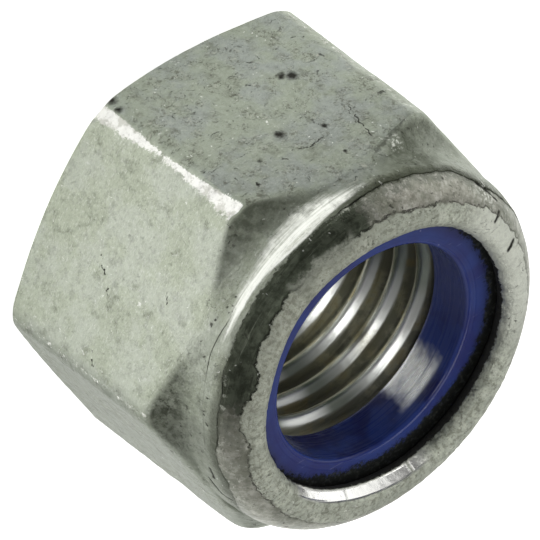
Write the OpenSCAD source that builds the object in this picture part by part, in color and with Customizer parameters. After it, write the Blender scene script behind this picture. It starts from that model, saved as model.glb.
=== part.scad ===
// Hexagon lock nut: a steel body whose collar is rolled over a nylon locking ring.
// The thread axis is Z, the bearing face lies on Z = 0 and the rolled collar is on top.
// Two of the six flats face along Y, and one upright edge points along +X.

/* [Hexagon] */
// Width across the flats
across_flats = 30; // [29.5:0.25:34]
// Radius that rounds the six upright edges
edge_round = 1.9; // [0.5:0.1:3]
// Height at which the upright edges run into the upper chamfer
edge_h = 15.9; // [14:0.1:16.5]
// Slope of the upper chamfer from level, in degrees
upper_slope = 30; // [20:1:35]
// Diameter of the flat bearing face
bearing_d = 28.5; // [26:0.25:29]
// Slope of the lower chamfer from level, in degrees
lower_slope = 20; // [15:1:30]

/* [Collar] */
// Overall height of the nut
nut_h = 22.8; // [22.4:0.1:25]
// Outside diameter of the collar
collar_d = 29.4; // [28.6:0.1:29.6]
// Thickness of the collar wall and of the lip that it is rolled into
collar_wall = 1.9; // [1.5:0.05:2.1]
// Radius of the hollow fillet between the upper chamfer and the collar
neck_round = 3; // [1:0.25:3.75]
// Outside radius of the roll at the top of the collar
roll_r = 3.3; // [2.6:0.1:3.6]
// Diameter of the opening inside the rolled lip
lip_d = 22.1; // [21:0.1:23]

/* [Thread] */
// Nominal diameter of the thread
thread_d = 20; // [18:0.5:20.5]
// Pitch of the thread
thread_pitch = 2.5; // [2:0.25:3]
// Diameter of the countersink in the bearing face
countersink_d = 21.2; // [20.8:0.1:22]
// Height of the bevel between the thread and the seat of the ring
seat_bevel = 0.8; // [0.4:0.1:1.5]

/* [Locking ring] */
// Height of the nylon locking ring
ring_h = 4; // [3:0.1:4.5]
// Bore of the locking ring, which the screw cuts its own thread into
ring_bore_d = 17.6; // [17.4:0.05:18]
// Rounding of the inner edges of the ring
ring_edge = 0.35; // [0.1:0.05:0.6]
// Gap all round the outside of the ring
ring_clear = 0.05; // [0.02:0.01:0.1]

/* [Hidden] */
$fn = 120;

// Hexagon
flat_r = across_flats / 2;
edge_centre_r = (flat_r - edge_round) / cos(30);
edge_r = edge_centre_r + edge_round;
bearing_r = bearing_d / 2;
blank_r = edge_r + 2;

// Collar and roll
collar_r = collar_d / 2;
roll_centre_r = collar_r - roll_r;
hollow_r = roll_r - collar_wall;
lip_end = collar_wall / 2;
lip_centre_r = lip_d / 2 + lip_end;
roll_turn = asin((lip_centre_r - roll_centre_r) / (roll_r - lip_end));
roll_z = nut_h - lip_end - (roll_r - lip_end) * cos(roll_turn);
roll_cut = roll_r + 1;
seat_r = collar_r - collar_wall;
seat_z = roll_z + hollow_r - ring_h;
chamfer_top_z = edge_h + (edge_r - collar_r) * tan(upper_slope);
neck_turn = 90 - upper_slope;
neck_reach = neck_round * tan(neck_turn / 2);

// Thread: the crests of a basic 60 degree profile stand at the minor radius
minor_r = thread_d / 2 - 5 / 8 * sqrt(3) / 2 * thread_pitch;
countersink_r = countersink_d / 2;
countersink_depth = countersink_r - minor_r;

// Locking ring
ring_r = seat_r - ring_clear;
ring_bore_r = ring_bore_d / 2;
ring_round = hollow_r - ring_clear;
ring_top = seat_z + ring_h;

// A hexagon with its corners rounded: twelve straight points and six circles
module rounded_hexagon() {
    polygon([
        for (i = [0:5], s = [-1, 1])
            edge_centre_r * [cos(60 * i), sin(60 * i)]
            + edge_round * [cos(60 * i + 30 * s), sin(60 * i + 30 * s)]
    ]);
    for (i = [0:5])
        rotate(60 * i) translate([edge_centre_r, 0]) circle(edge_round);
}

// Outline of the steel body in radius and height, before the bore is cut
module body_outline() {
    difference() {
        union() {
            polygon([
                [0, 0],
                [bearing_r, 0],
                [blank_r, (blank_r - bearing_r) * tan(lower_slope)],
                [blank_r, edge_h - (blank_r - edge_r) * tan(upper_slope)],
                [collar_r, chamfer_top_z],
                [collar_r, roll_z],
                [0, roll_z]
            ]);
            neck_fillet();
            translate([roll_centre_r, roll_z]) circle(roll_r);
        }
        opening_outline();
    }
    translate([lip_centre_r, nut_h - lip_end]) circle(lip_end);
}

// Hollow fillet between the chamfer and the collar
module neck_fillet() {
    difference() {
        polygon([
            [seat_r, chamfer_top_z - neck_reach * sin(upper_slope)],
            [collar_r + neck_reach * cos(upper_slope), chamfer_top_z - neck_reach * sin(upper_slope)],
            [collar_r + neck_round, chamfer_top_z + neck_reach],
            [seat_r, chamfer_top_z + neck_reach]
        ]);
        translate([collar_r + neck_round, chamfer_top_z + neck_reach]) circle(neck_round);
    }
}

// What is open above the thread: the seat of the ring, the hollow of the roll and the mouth of the lip
module opening_outline() {
    translate([0, seat_z]) square([seat_r, roll_z - seat_z]);
    translate([roll_centre_r, roll_z]) circle(hollow_r);
    polygon([
        [0, roll_z],
        [roll_centre_r, roll_z],
        [roll_centre_r + roll_cut * sin(roll_turn), roll_z + roll_cut * cos(roll_turn)],
        [0, roll_z + roll_cut * cos(roll_turn)]
    ]);
}

// Bore at the crests of the thread, with a countersink below and a bevel above
module bore_outline() {
    polygon([
        [0, -1],
        [countersink_r + 1, -1],
        [minor_r, countersink_depth],
        [minor_r, seat_z - seat_bevel],
        [minor_r + seat_bevel + 1, seat_z + 1],
        [0, seat_z + 1]
    ]);
}

// Steel body: hexagon, chamfers, neck, collar and rolled lip in one piece
module nut_body() {
    color([0.62, 0.65, 0.60])
    intersection() {
        linear_extrude(nut_h) rounded_hexagon();
        rotate_extrude()
            difference() {
                body_outline();
                bore_outline();
            }
    }
}

// Nylon ring that fills the seat under the lip
module locking_ring() {
    color([0.16, 0.18, 0.45])
    rotate_extrude()
        difference() {
            union() {
                translate([ring_bore_r, seat_z])
                    square([ring_r - ring_bore_r, ring_h - ring_clear - ring_round]);
                translate([ring_bore_r, seat_z])
                    square([ring_r - ring_round - ring_bore_r, ring_h - ring_clear]);
                translate([ring_r - ring_round, ring_top - ring_clear - ring_round])
                    circle(ring_round);
            }
            ring_corner(seat_z, 1);
            ring_corner(ring_top - ring_clear, -1);
        }
}

// Square corner outside a rounded inner edge of the ring, at height z, the ring lying on side s of it
module ring_corner(z, s) {
    difference() {
        translate([ring_bore_r - 1, min(z, z + s * ring_edge) - (s > 0 ? 1 : 0)])
            square([1 + ring_edge, 1 + ring_edge]);
        translate([ring_bore_r + ring_edge, z + s * ring_edge]) circle(ring_edge);
        translate([ring_bore_r + ring_edge, z - 2]) square([1, 4]);
    }
}

nut_body();
locking_ring();
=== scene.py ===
from math import acos, atan2, ceil, cos, hypot, pi, radians, sin, sqrt, tan

import bmesh
import bpy
from mathutils import Matrix, Vector, noise


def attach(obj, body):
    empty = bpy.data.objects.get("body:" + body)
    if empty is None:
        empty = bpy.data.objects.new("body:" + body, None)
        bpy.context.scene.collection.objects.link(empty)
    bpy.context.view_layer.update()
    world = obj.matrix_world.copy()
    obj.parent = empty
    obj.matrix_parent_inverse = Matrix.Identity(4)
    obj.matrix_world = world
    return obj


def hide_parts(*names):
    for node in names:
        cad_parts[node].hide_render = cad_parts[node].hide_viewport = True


bl_info = {
    "name": "Insert lock nut",
    "version": (1, 0, 0),
    "blender": (4, 5, 0),
    "location": "3D View > Sidebar > Lock nut",
    "description": "Builds a plated hexagon lock nut with a nylon locking ring round its packed solids",
    "category": "Add Mesh",
}

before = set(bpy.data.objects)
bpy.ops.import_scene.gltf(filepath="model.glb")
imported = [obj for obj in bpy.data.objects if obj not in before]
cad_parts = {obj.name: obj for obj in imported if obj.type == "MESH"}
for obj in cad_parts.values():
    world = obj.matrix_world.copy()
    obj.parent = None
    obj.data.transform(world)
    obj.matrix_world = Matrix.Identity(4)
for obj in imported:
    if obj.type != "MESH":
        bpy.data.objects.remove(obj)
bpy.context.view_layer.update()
MM = 0.001


class NutSizes(bpy.types.PropertyGroup):
    """Sizes of the steel body, in millimetres"""

    flat_r: bpy.props.FloatProperty(
        name="Flat distance", description="From the axis to each flat, in mm", default=15.0, min=10.0)
    edge_round: bpy.props.FloatProperty(
        name="Edge rounding", description="Radius of the six upright edges, in mm", default=1.9, min=0.2)
    edge_h: bpy.props.FloatProperty(
        name="Edge height", description="Where the upright edges meet the upper chamfer, in mm", default=15.9)
    upper_slope: bpy.props.FloatProperty(
        name="Upper slope", description="Slope of the upper chamfer from level",
        default=radians(30), subtype="ANGLE")
    lower_slope: bpy.props.FloatProperty(
        name="Lower slope", description="Slope of the lower chamfer from level",
        default=radians(20), subtype="ANGLE")
    bearing_r: bpy.props.FloatProperty(
        name="Bearing radius", description="Radius of the bearing face, in mm", default=14.25)
    nut_h: bpy.props.FloatProperty(
        name="Height", description="Overall height of the nut, in mm", default=22.8)
    collar_r: bpy.props.FloatProperty(
        name="Collar radius", description="Outside radius of the collar, in mm", default=14.7)
    collar_wall: bpy.props.FloatProperty(
        name="Collar wall", description="Thickness of the collar and its lip, in mm", default=1.9)
    neck_round: bpy.props.FloatProperty(
        name="Neck fillet", description="Radius of the hollow fillet under the collar, in mm", default=3.0)
    roll_r: bpy.props.FloatProperty(
        name="Roll radius", description="Outside radius of the roll, in mm", default=3.3)
    lip_r: bpy.props.FloatProperty(
        name="Lip radius", description="Radius of the opening inside the lip, in mm", default=11.05)
    crest_r: bpy.props.FloatProperty(
        name="Crest radius", description="Radius at the crests of the thread, in mm", default=8.647)
    crest_w: bpy.props.FloatProperty(
        name="Crest width", description="Width of the crests of the thread, in mm", default=0.62)
    root_r: bpy.props.FloatProperty(
        name="Root radius", description="Radius at the roots of the thread, in mm", default=9.95)
    pitch: bpy.props.FloatProperty(
        name="Pitch", description="Pitch of the thread, in mm", default=2.5)
    thread_turn: bpy.props.FloatProperty(
        name="Thread start", description="Turn of the helix about the axis", default=-1.5, subtype="ANGLE")
    countersink_r: bpy.props.FloatProperty(
        name="Countersink radius", default=10.6,
        description="Radius of the countersink in the bearing face, in mm")
    seat_h: bpy.props.FloatProperty(
        name="Seat height", default=4.0, min=3.0, max=4.5,
        description="Height of the seat that holds the ring, in mm")
    seat_bevel: bpy.props.FloatProperty(
        name="Seat bevel", description="Bevel between the thread and the seat, in mm", default=0.8)
    columns: bpy.props.IntProperty(
        name="Columns", description="Upright strips of faces round the body", default=360, min=60)


class RingSizes(bpy.types.PropertyGroup):
    """Sizes of the nylon ring, in millimetres"""

    height: bpy.props.FloatProperty(name="Height", description="Height of the ring, in mm", default=4.0)
    bore_r: bpy.props.FloatProperty(name="Bore radius", description="Radius of the bore, in mm", default=8.8)
    bevel: bpy.props.FloatProperty(
        name="Bevel", description="Rounding of the edges of the bore, in mm", default=0.35)
    gap: bpy.props.FloatProperty(name="Gap", description="Gap round the outside, in mm", default=0.05)
    columns: bpy.props.IntProperty(
        name="Columns", description="Upright strips of faces round the ring", default=300, min=60)


class NutFinish(bpy.types.PropertyGroup):
    """Colours of the plating, the bare steel and the nylon"""

    zinc: bpy.props.FloatVectorProperty(
        name="Zinc", description="Main colour of the plating", subtype="COLOR", size=3,
        default=(0.62, 0.67, 0.535), min=0.0, max=1.0)
    # Also the darker base of the flats, painted by the pale table
    zinc_cool: bpy.props.FloatVectorProperty(
        name="Cool zinc", description="Bluish patches of the plating", subtype="COLOR", size=3,
        default=(0.33, 0.37, 0.305), min=0.0, max=1.0)
    # Also the colour of the painted highlight on the collar
    burnished: bpy.props.FloatVectorProperty(
        name="Burnished zinc", description="Plating polished by wear", subtype="COLOR", size=3,
        default=(0.92, 0.935, 0.87), min=0.0, max=1.0)
    rim: bpy.props.FloatVectorProperty(
        name="Rim", description="Grainy plating round the opening", subtype="COLOR", size=3,
        default=(0.60, 0.63, 0.53), min=0.0, max=1.0)
    band: bpy.props.FloatVectorProperty(
        name="Rolled band", description="Smooth band on the shoulder of the roll", subtype="COLOR", size=3,
        default=(0.29, 0.295, 0.24), min=0.0, max=1.0)
    # Also the colour of the painted shade under the lip and the torn rim
    soot: bpy.props.FloatVectorProperty(
        name="Dirt", description="Dirt in pits, cracks and under the lip", subtype="COLOR", size=3,
        default=(0.035, 0.035, 0.027), min=0.0, max=1.0)
    # Also the painted shade on the crests' lower sides and upper flanks
    steel_deep: bpy.props.FloatVectorProperty(
        name="Deep steel", description="Roots of the thread", subtype="COLOR", size=3,
        default=(0.22, 0.22, 0.165), min=0.0, max=1.0)
    nylon: bpy.props.FloatVectorProperty(
        name="Nylon", description="Colour of the locking ring", subtype="COLOR", size=3,
        default=(0.008, 0.016, 0.145), min=0.0, max=1.0)


class StageSettings(bpy.types.PropertyGroup):
    """Camera, floor and light"""

    lens: bpy.props.FloatProperty(
        name="Lens", description="Focal length of the camera, in mm", default=1333.3)
    room: bpy.props.FloatProperty(
        name="Room light", description="Strength of the room behind the nut", default=0.55, min=0.0)
    window: bpy.props.FloatProperty(
        name="Window light", description="Strength of the bright side of the room", default=0.75, min=0.0)
    shade: bpy.props.FloatProperty(
        name="Room shade", description="Strength of the room on the camera's side", default=0.24, min=0.0)


def stretch(low, high, value):
    """Smooth step of value from low to high, between 0 and 1"""
    t = min(1.0, max(0.0, (value - low) / (high - low)))
    return t * t * (3.0 - 2.0 * t)


def soft_max(a, b, width):
    """The larger of a and b, rounded over width where they cross"""
    h = max(width - abs(a - b), 0.0) / width
    return max(a, b) + h * h * width * 0.25


def soft_min(a, b, width):
    return -soft_max(-a, -b, width)


def wobble(x, y, z, seed=0.0):
    """Smooth noise between about -1 and 1"""
    return noise.noise((x + seed, y - 0.7 * seed, z + 1.3 * seed))


def round_table(table, azimuth):
    """Value at an azimuth in degrees, read along a table of (azimuth, value) that closes on itself"""
    a = (azimuth - table[0][0]) % 360.0 + table[0][0]
    for (a0, v0), (a1, v1) in zip(table, table[1:] + [(table[0][0] + 360.0, table[0][1])]):
        if a <= a1:
            return v0 + (v1 - v0) * (a - a0) / (a1 - a0)
    return table[0][1]


# Place of the crease and of the torn rim on the roll, as arc length from the collar, in mm
CREASE = [(-143, 1.75), (-136, 1.7), (-131, 1.45), (-121, 0.95), (-113, 0.97), (-101, 0.9), (-96, 0.82),
          (-87, 0.97), (-81, 1.05), (-66, 0.95), (-50, 0.8), (-35, 0.85), (-22, 0.95), (-16, 1.3),
          (-3, 1.38), (5, 1.26), (11, 1.13), (19, 1.5), (26, 1.4), (30, 1.1), (36, 0.67), (46, 0.6),
          (60, 0.85), (95, 1.25), (130, 1.0), (165, 1.3), (195, 1.1)]
RIM = [(-145, 3.4), (-124, 3.47), (-117, 3.44), (-108, 3.55), (-104, 3.5), (-94, 3.13), (-84, 3.18),
       (-77, 3.2), (-68, 3.1), (-58, 2.85), (-50, 2.58), (-46, 2.7), (-36, 2.86), (-31.5, 2.78),
       (-27, 3.12), (-23, 3.68), (-17, 3.4), (-13, 3.15), (-7, 2.94), (-2, 3.4), (2, 3.63), (10, 3.36),
       (15, 3.47), (23, 3.43), (33, 3.66), (44, 3.68), (70, 3.4), (110, 3.55), (150, 3.3), (190, 3.5)]
# How much shorter the lip is rolled than its even length, in mm along the radius
LIP_SHORT = [(-147, -0.2), (-128, -0.08), (-95, -0.03), (-87, 0.05), (-80, 0.13), (-73, 0.22), (-67, 0.31),
             (-61, 0.39), (-55, 0.44), (-49, 0.45), (-43, 0.40), (-37, 0.31), (-31, 0.20), (-25, 0.09),
             (-18, 0.01), (0, 0.0), (13, -0.05), (25, -0.2), (34, -0.3), (43, -0.4), (54, -0.5), (65, -0.6),
             (80, -0.6), (90, -0.55), (102, -0.42), (119, -0.38), (130, -0.3), (150, -0.2), (160, 0.0),
             (178, -0.03), (189, -0.15)]
CREASE_MID = 1.15
RIM_MID = 3.4
ROLL_END = 4.33

# How far along the arc the rows of the roll stand, with the two lines at CREASE_MID and RIM_MID
ROLL_ROWS = [0.14, 0.36, 0.6, 0.8, 0.94, 1.03, 1.09, 1.125, 1.15, 1.175, 1.21, 1.27, 1.37, 1.52, 1.72, 1.95,
             2.2, 2.45, 2.7, 2.9, 3.06, 3.18, 3.27, 3.33, 3.37, 3.4, 3.43, 3.47, 3.53, 3.63, 3.78, 3.95,
             4.13]

# How open the crease is at each azimuth, from 0 to 1
CREASE_OPEN = [(-145, 0.7), (-134, 1.0), (-127, 0.35), (-110, 0.25), (-95, 0.35), (-82, 0.9), (-76, 0.15),
               (-60, 0.05), (-30, 0.1), (-24, 0.05), (-20, 0.35), (-14, 0.5), (-8, 0.3), (2, 0.35),
               (10, 0.12), (18, 0.2), (24, 0.05), (34, 0.12), (43, 0.0), (55, 0.2), (70, 0.8), (110, 0.2),
               (150, 0.9), (190, 0.6)]
RIM_STEP = [(-140, 0.8), (-110, 1.0), (-84, 1.0), (-76, 0.3), (-60, 0.2), (-53, 0.4), (-49, 0.9),
            (-24, 1.0), (0, 1.0), (30, 1.0), (50, 0.7), (80, 0.5), (120, 0.8), (170, 0.5)]

# How much the top of each flat is pushed up or down from the even chamfer, in mm
FLAT_LIFT = [(-120, 0.0), (-108, 0.25), (-90, 0.5), (-72, 0.25), (-60, 0.0), (-45, -0.25), (-30, -0.45),
             (-15, -0.25), (0, 0.0), (30, 0.5), (58, 1.1), (72, 1.0), (95, 0.1), (120, 0.0), (150, 0.2),
             (180, 0.0), (210, -0.2)]

# How many times the bend between each flat and the chamfer is averaged
SOFT_EDGE = [(-120, 8), (-110, 24), (-90, 38), (-70, 20), (-60, 3), (-45, 4), (-30, 8), (-15, 12), (0, 12),
             (15, 26), (30, 36), (60, 30), (90, 14), (120, 8), (150, 12), (180, 8), (210, 12)]

# Over how many mm past that bend the finish of the flat fades out into the darker chamfer, and how dark the
# chamfer is: painted shade where the chamfer mirrors the dark room, broken up by mottling
FADE = [(-120, 0.8), (-105, 1.6), (-90, 2.0), (-72, 0.9), (-66, 0.25), (-54, 0.2), (-45, 0.4), (-30, 0.8),
        (-10, 0.6), (0, 0.3), (12, 0.8), (30, 3.0), (60, 2.0), (120, 0.6), (180, 0.6)]
CONE = [(-120, 0.6), (-105, 0.85), (-90, 1.0), (-75, 1.0), (-60, 1.0), (-45, 0.9), (-30, 0.8), (-15, 0.85),
        (0, 1.0), (12, 0.5), (22, 0.15), (60, 0.1), (120, 0.4), (180, 0.4)]

# How pale each flat is, from 0 to 1: partly patches of the plating, partly painted light and shade that makes each
# flat lighter or darker as the light falls on it
PALE = [(-118, 0.15), (-62, 0.15), (-59, 0.9), (-30, 1.0), (-3, 0.8), (1, 0.3), (30, 0.28), (58, 0.3),
        (64, 0.7), (116, 0.6), (120, 0.4), (176, 0.4), (180, 0.7), (238, 0.6)]

# Painted shade on each flat, from 0 to 1: how much darker each flat is coloured where the light only grazes it
TONE = [(-118, 0.10), (-62, 0.10), (-59, 0.05), (-4, 0.06), (2, 0.42), (58, 0.42), (64, 0.0), (176, 0.0),
        (180, 0.1), (238, 0.1)]

# The worn band on the edge at -60 degrees, coloured nearly white as a painted highlight: height and its two
# limits, in degrees from the edge
BAND_EDGE = [(0.0, -0.7, 1.9), (2.0, -1.0, 2.4), (4.0, -0.7, 1.9), (6.0, -0.3, 0.9), (7.6, -0.2, 0.4),
             (9.0, -0.1, 0.5), (11.0, -0.3, 1.0), (12.5, -0.6, 1.4), (14.0, -1.3, 1.8), (16.2, -2.1, 2.4)]

# A second, fainter line outside the crease on the left, as arc length from the collar, in mm
SECOND = [(-38, -0.3), (-35, -0.43), (-29.4, -0.79), (-24, -0.97), (-18, -0.6), (-10, -0.33), (-1, 0.15),
          (15, 0.18), (21, 0.3), (40, 0.4)]
DOUBLED = [(-38, 0.0), (-35, 0.9), (-20, 1.0), (-15, 0.35), (8, 0.3), (15, 0.0), (200, 0.0)]

# Where the collar is burnished and coloured bright as a painted highlight: lower and upper limit as distance along
# the outline, and how bright
SHINE_LOW = [(-100, 2.8), (-90, 2.2), (-83, 1.7), (-77, 1.15), (-71, 0.8), (-65, 0.9), (-59, 1.2),
             (-51, 1.7), (-44, 1.8), (-35, 2.3), (-26, 2.8), (0, 2.2), (60, 2.0), (120, 1.8), (200, 2.2)]
SHINE_HIGH = [(-100, 3.3), (-90, 3.5), (-82, 3.66), (-76, 3.75), (-68, 3.9), (-60, 3.85), (-53, 3.5),
              (-44, 3.38), (-35, 3.4), (-26, 3.3), (0, 3.2), (60, 3.3), (120, 3.4), (200, 3.2)]
SHINE = [(-140, 0.2), (-98, 0.2), (-90, 0.4), (-83, 0.75), (-76, 1.0), (-42, 1.0), (-35, 0.85), (-28, 0.3),
         (-10, 0.1), (60, 0.25), (120, 0.4), (200, 0.2)]

# How dark and smooth the shoulder of the roll is, with darker metal and painted shade where it faces the camera's
# side, and how brown the band on it is, from 0 to 1
SHOULDER = [(-140, 0.0), (-96, 0.1), (-88, 0.35), (-80, 0.9), (-70, 1.0), (-30, 1.0), (-18, 0.85),
            (-8, 0.55), (4, 0.3), (20, 0.1), (35, 0.0), (200, 0.0)]
OLIVE = [(-150, 0.1), (-135, 0.6), (-120, 1.0), (-96, 1.0), (-84, 0.7), (-77, 0.0), (-28, 0.0), (-18, 0.35),
         (5, 0.4), (30, 0.2), (200, 0.1)]
BROWN = [(-150, 0.3), (-135, 0.6), (-115, 0.9), (-80, 1.0), (-20, 0.9), (10, 0.75), (30, 0.55), (50, 0.3),
         (90, 0.2), (140, 0.15), (180, 0.1), (200, 0.2)]

# Wear of each upright edge, in mm taken off
EDGE_WEAR = {-60: 0.30, 0: 0.10, -120: 0.10, 60: 0.12, 120: 0.16, 180: 0.10}

# Nicks in the upright edges: azimuth in degrees, height, depth and radius in mm
EDGE_NICKS = [(-58.6, 8.3, 0.26, 0.75), (-60, 15.6, 0.25, 0.7), (-61, 14.2, 0.18, 0.6),
              (-59, 11.0, 0.12, 0.7), (-62, 4.6, 0.14, 0.9), (-58.5, 2.4, 0.2, 1.0),
              (-61.5, 7.9, 0.10, 0.8), (-1.5, 5.0, 0.12, 0.8), (1.2, 12.0, 0.12, 0.9),
              (-120, 13.8, 0.22, 1.0), (-119, 6.0, 0.12, 0.8), (61, 9.0, 0.2, 1.0), (179, 12.0, 0.2, 1.1),
              (121, 5.0, 0.2, 1.0)]


# Waves of the surface by name: height, how fine they are round the axis and along the outline, and a seed
WAVES = {
    "edge_wear": ((0.9, 4.5, 0.45, 3.1), (0.5, 4.5, 1.4, 8.2)),
    "flat": ((0.05, 2.4, 0.16, 5.0), (0.05, 8.25, 0.55, 9.0), (0.028, 22.5, 1.5, 10.0)),
    "chamfer_ripple": ((0.018, 1.4, 2.2, 21.0),),
    "chamfer_lump": ((0.035, 12, 0.8, 22.0),),
    "crease": ((0.13, 9, 0.0, 2.0), (0.12, 30, 0.0, 4.0)),
    "crease_open": ((0.5, 12, 0.0, 12.0),),
    "rim": ((0.18, 8, 0.0, 6.0), (0.24, 22, 0.0, 7.0), (0.16, 50, 0.0, 17.0)),
    "rim_step": ((0.4, 10, 0.0, 14.0),),
    "roll": ((0.02, 21, 1.5, 31.0),),
    "rim_grain": ((0.03, 55, 4.0, 33.0),),
    "rim_folds": ((1.0, 16, 2.5, 35.0),),
    "lip_tear": ((0.03, 50, 5.0, 41.0),),
    "lip_notches": ((1.0, 30, 0.3, 44.0), (0.9, 62, 0.9, 46.0)),
    "thread_wear": ((0.02, 12, 2.0, 51.0),),
    "glint_breaks": ((1.0, 30, 0.0, 61.0),),
    "ring_bore": ((0.025, 3, 0.6, 71.0),),
    "ring_dish": ((0.03, 2, 0.5, 73.0),),
    "ring_specks": ((1.0, 20, 3.0, 75.0),),
    "ring_ridge": ((0.05, 2, 0.0, 77.0),),
    "ridge_breaks": ((1.0, 1.2, 0.0, 78.0),),
}


def waves(name, c, n, along=0.0):
    """Sum of the waves of one name in the direction (c, n) from the axis"""
    return sum(high * wobble(c * fine, n * fine, along * up, seed) for high, fine, up, seed in WAVES[name])


def nearest_edge(degrees):
    """Azimuth of the nearest upright edge, in degrees"""
    return round(degrees / 60.0) * 60.0


class Outline:
    """One upright section of the steel body, as rows of radius, height, name of the stretch and a mark"""

    FLAT_STEPS = 42
    CHAMFER_STEPS = 22
    LIP_STEPS = 22
    THREAD_STEP = 0.15
    BURR = 0.06
    WORN_BEVEL = radians(139.0)
    WORN_BEVEL_HALF = radians(31.0)

    def __init__(self, s, azimuth):
        self.s = s
        self.turn = azimuth
        self.degrees = azimuth * 180 / pi
        self.c, self.n = cos(azimuth), sin(azimuth)
        self.rows = []
        self.lip_round = s.collar_wall / 2
        self.roll_centre = s.collar_r - s.roll_r
        self.hollow = s.roll_r - s.collar_wall
        reach = s.roll_r - self.lip_round
        even_lip = s.lip_r + self.lip_round
        self.roll_z = s.nut_h - self.lip_round - reach * sin(acos((even_lip - self.roll_centre) / reach))
        self.lip_centre = even_lip + self.table(LIP_SHORT)
        self.lip_turn = acos((self.lip_centre - self.roll_centre) / reach)
        self.lip_z = self.roll_z + reach * sin(self.lip_turn)
        self.seat_r = s.collar_r - s.collar_wall
        self.seat_z = self.roll_z + self.hollow - s.seat_h
        self.soft_pale = sum(round_table(PALE, self.degrees + step) for step in (-16, -8, 0, 8, 16)) / 5
        self.edge_centre = (s.flat_r - s.edge_round) / cos(radians(30))
        self.edge_r = self.edge_centre + s.edge_round
        self.neck_z = (s.edge_h + (self.edge_r - s.collar_r) * tan(s.upper_slope)
                       + s.neck_round * tan((pi / 2 - s.upper_slope) / 2))
        self.neck_c = s.collar_r + s.neck_round
        self.neck_end_r = self.neck_c - s.neck_round * sin(s.upper_slope)

    def table(self, table):
        """Value of a table at this azimuth"""
        return round_table(table, self.degrees)

    def waves(self, name, along=0.0):
        return waves(name, self.c, self.n, along)

    def behind(self):
        """Azimuth in degrees from -260 to 100, so that it runs on without a jump on the far side"""
        return self.degrees - 360 * (self.degrees > 100)

    def add(self, r, z, stretch_name, along=0.0):
        self.rows.append((r, z, stretch_name, along))

    def add_on_roll(self, radius, angle, stretch_name, along=0.0):
        """A row on a circle round the centre of the roll"""
        self.add(self.roll_centre + radius * cos(angle), self.roll_z + radius * sin(angle), stretch_name, along)

    def hexagon(self, z):
        """Radius of the rounded hexagon at this azimuth and height, with the wear of its edges and faces"""
        s = self.s
        sixth = nearest_edge(self.degrees)
        off = abs(radians(self.degrees - sixth))
        radius = s.flat_r / cos(radians(30) - off)
        tangent = atan2(s.edge_round / 2, self.edge_centre + s.edge_round * cos(radians(30)))
        if off < tangent:
            radius = self.edge_centre * cos(off) + sqrt(s.edge_round ** 2 - (self.edge_centre * sin(off)) ** 2)
        wear = EDGE_WEAR[int((sixth + 179) % 360 - 179)] * (0.75 + self.waves("edge_wear", z))
        cap = self.edge_r - max(0.0, wear)
        dent = 0.0
        for at, high, deep, wide in EDGE_NICKS:
            d = hypot(radians(self.degrees - at) * 17.0, z - high) / wide
            if d < 1:
                dent += deep * (1 - d * d) ** 2
        return soft_min(radius, cap / cos(off * 0.6), 0.35) - abs(self.waves("flat", z)) - dent

    def build(self):
        self.bearing_rows()
        self.flat_rows()
        self.roll_rows()
        self.lip_rows()
        self.seat_rows()
        self.bore_rows()
        self.soften("flat", "neck", int(self.table(SOFT_EDGE)))
        return self.rows

    def bearing_rows(self):
        """Bearing face and lower chamfer, from the countersink out"""
        s = self.s
        self.add(s.countersink_r, self.BURR, "bearing")
        for r in (s.countersink_r + self.BURR, 11.5, 12.5, 13.5, s.bearing_r - 0.08):
            self.add(r, 0.0, "bearing")
        low_r = self.hexagon(0.6)
        self.low_z = (low_r - s.bearing_r) * tan(s.lower_slope)
        for t in (0.06, 0.3, 0.6, 0.93):
            self.add(s.bearing_r + (low_r - s.bearing_r) * t, self.low_z * t + 0.01, "bearing")

    def flat_rows(self):
        """Flats, closer together near their ends, then the chamfer and the neck up to the roll"""
        top_z = self.upper(self.hexagon(self.s.edge_h))
        for i in range(self.FLAT_STEPS + 1):
            t = i / self.FLAT_STEPS
            t -= 0.10 * sin(2 * pi * t) / (2 * pi)
            z = self.low_z + 0.08 + (top_z - self.low_z - 0.16) * t
            self.add(self.hexagon(z), z, "flat")
        top_r = self.rows[-1][0]
        self.add(top_r - 0.03, top_z - 0.01, "flat")
        self.chamfer_rows(top_r - 0.08)
        for t in (0.3, 0.7):
            self.add(self.s.collar_r, self.neck_z + (self.roll_z - self.neck_z) * t, "neck", 2.0 + t)

    def seat_rows(self):
        """Underside of the roll and the seat of the ring"""
        for t in (0.85, 0.65, 0.45, 0.25, 0.05):
            self.add_on_roll(self.hollow, self.lip_turn * t, "hollow")
        for z in (self.roll_z - 0.6, self.roll_z - 1.6, self.seat_z + 0.05):
            self.add(self.seat_r, z, "hollow")
        for r in (self.seat_r - 0.05, 11.4, 10.2):
            self.add(r, self.seat_z, "hollow")

    def soften(self, first, second, passes):
        """Rounds the bend between two stretches of rows by averaging the rows next to it"""
        bend = next(i for i in range(len(self.rows) - 1)
                    if self.rows[i][2] == first and self.rows[i + 1][2] == second)
        for _ in range(passes):
            before = list(self.rows)
            for i in range(bend - 7, bend + 13):
                r, z = ((before[i - 1][k] + 2 * before[i][k] + before[i + 1][k]) / 4 for k in (0, 1))
                self.rows[i] = (r, z, *before[i][2:])

    def upper(self, r):
        """Height of the upper chamfer and the fillet at radius r"""
        s = self.s
        if r > self.neck_end_r:
            z = s.edge_h + (self.edge_r - r) * tan(s.upper_slope)
        else:
            z = self.neck_z - sqrt(max(0.0, s.neck_round ** 2 - (self.neck_c - r) ** 2))
        return z + self.table(FLAT_LIFT) * stretch(s.collar_r + 0.02, s.collar_r + 0.32, r)

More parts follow.
